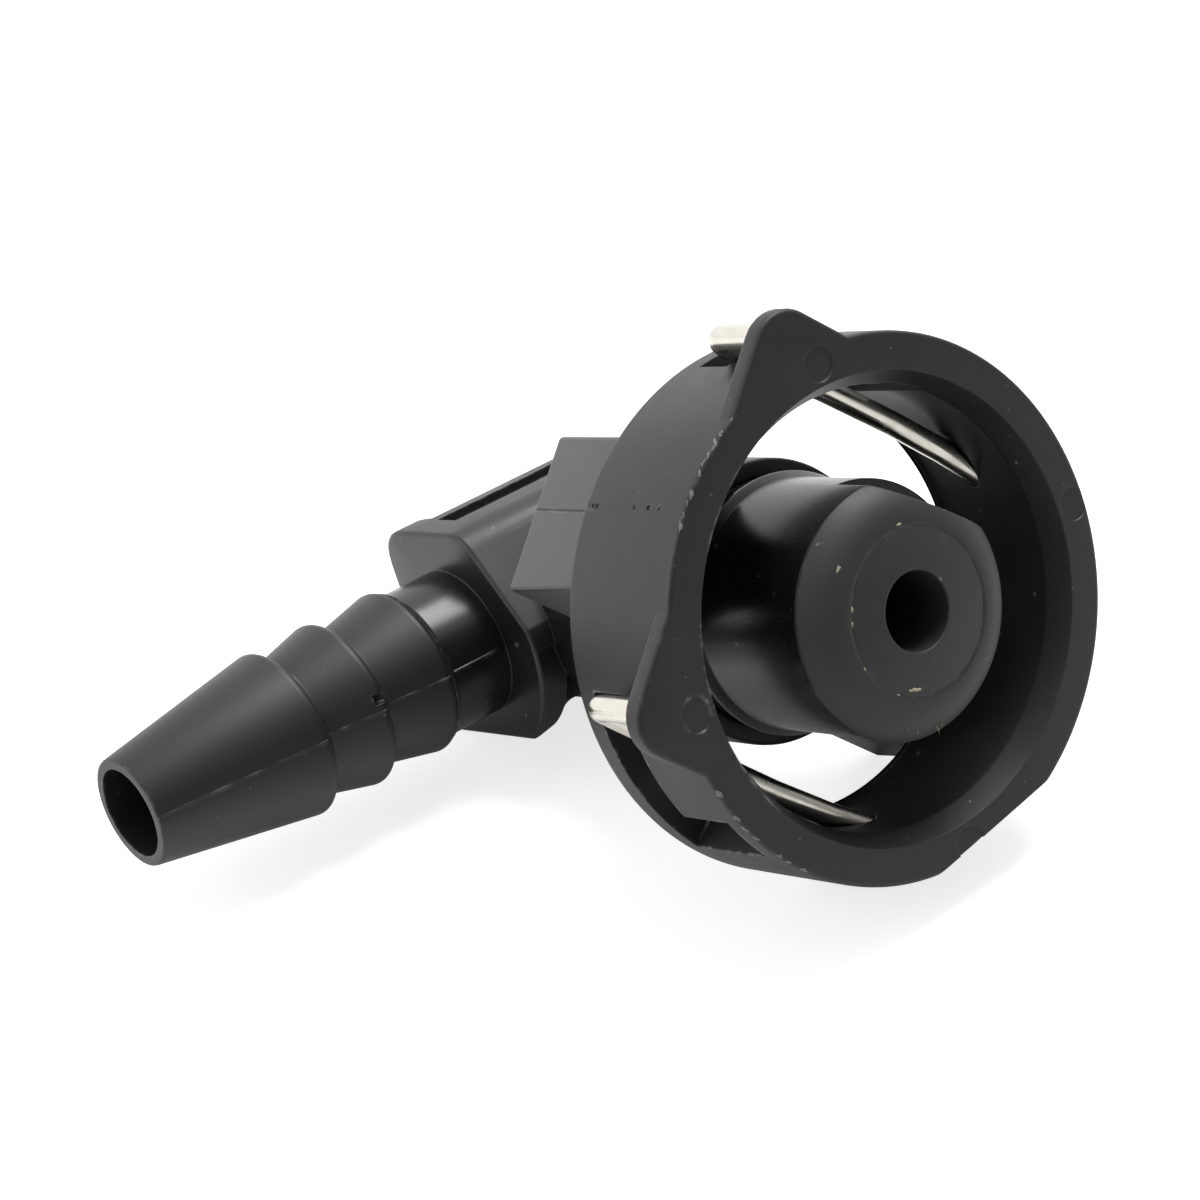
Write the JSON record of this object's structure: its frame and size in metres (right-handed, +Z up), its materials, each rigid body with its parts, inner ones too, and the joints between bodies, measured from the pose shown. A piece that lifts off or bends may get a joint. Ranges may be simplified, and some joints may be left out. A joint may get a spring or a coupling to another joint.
{
  "type": "elbow hose connector",
  "caption": "Elbow hose connector for sanitary and tubing lines: a barbed hose elbow with a swivelling push-on collar and a spring-wire clip.",
  "frame": {"origin": "middle of the collar's mouth, on the pipe axis", "axes": "+Z up off the table the part lies on; the mouth looks towards -Y and 18 degrees upwards; +X to the right as seen from in front of the mouth, with the hose barb pointing towards -X"},
  "size_m": [0.0477, 0.0408, 0.0338],
  "materials": {
    "elbow_plastic": "moulded black plastic, satin to glossy",
    "collar_plastic": "moulded black plastic, fine satin grain",
    "seal_rubber": "matte black rubber",
    "spring_wire": "bright drawn spring wire"
  },
  "bodies": {
    "elbow": {"elbow_body": "elbow_plastic", "nose_seal": "seal_rubber"},
    "collar": {"swivel_collar": "collar_plastic"},
    "clip": {"wire_clip": "spring_wire"}
  },
  "joints": [
    {"name": "collar_swivel", "type": "hinge", "parent": "elbow", "child": "collar", "pos_m": [0, 0, 0], "axis": [0, -0.9469, 0.3216], "continuous": true},
    {"name": "clip_slide", "type": "slide", "parent": "collar", "child": "clip", "axis": [0.7229, -0.2222, -0.6543], "range_m": [0, 0.0011]}
  ]
}
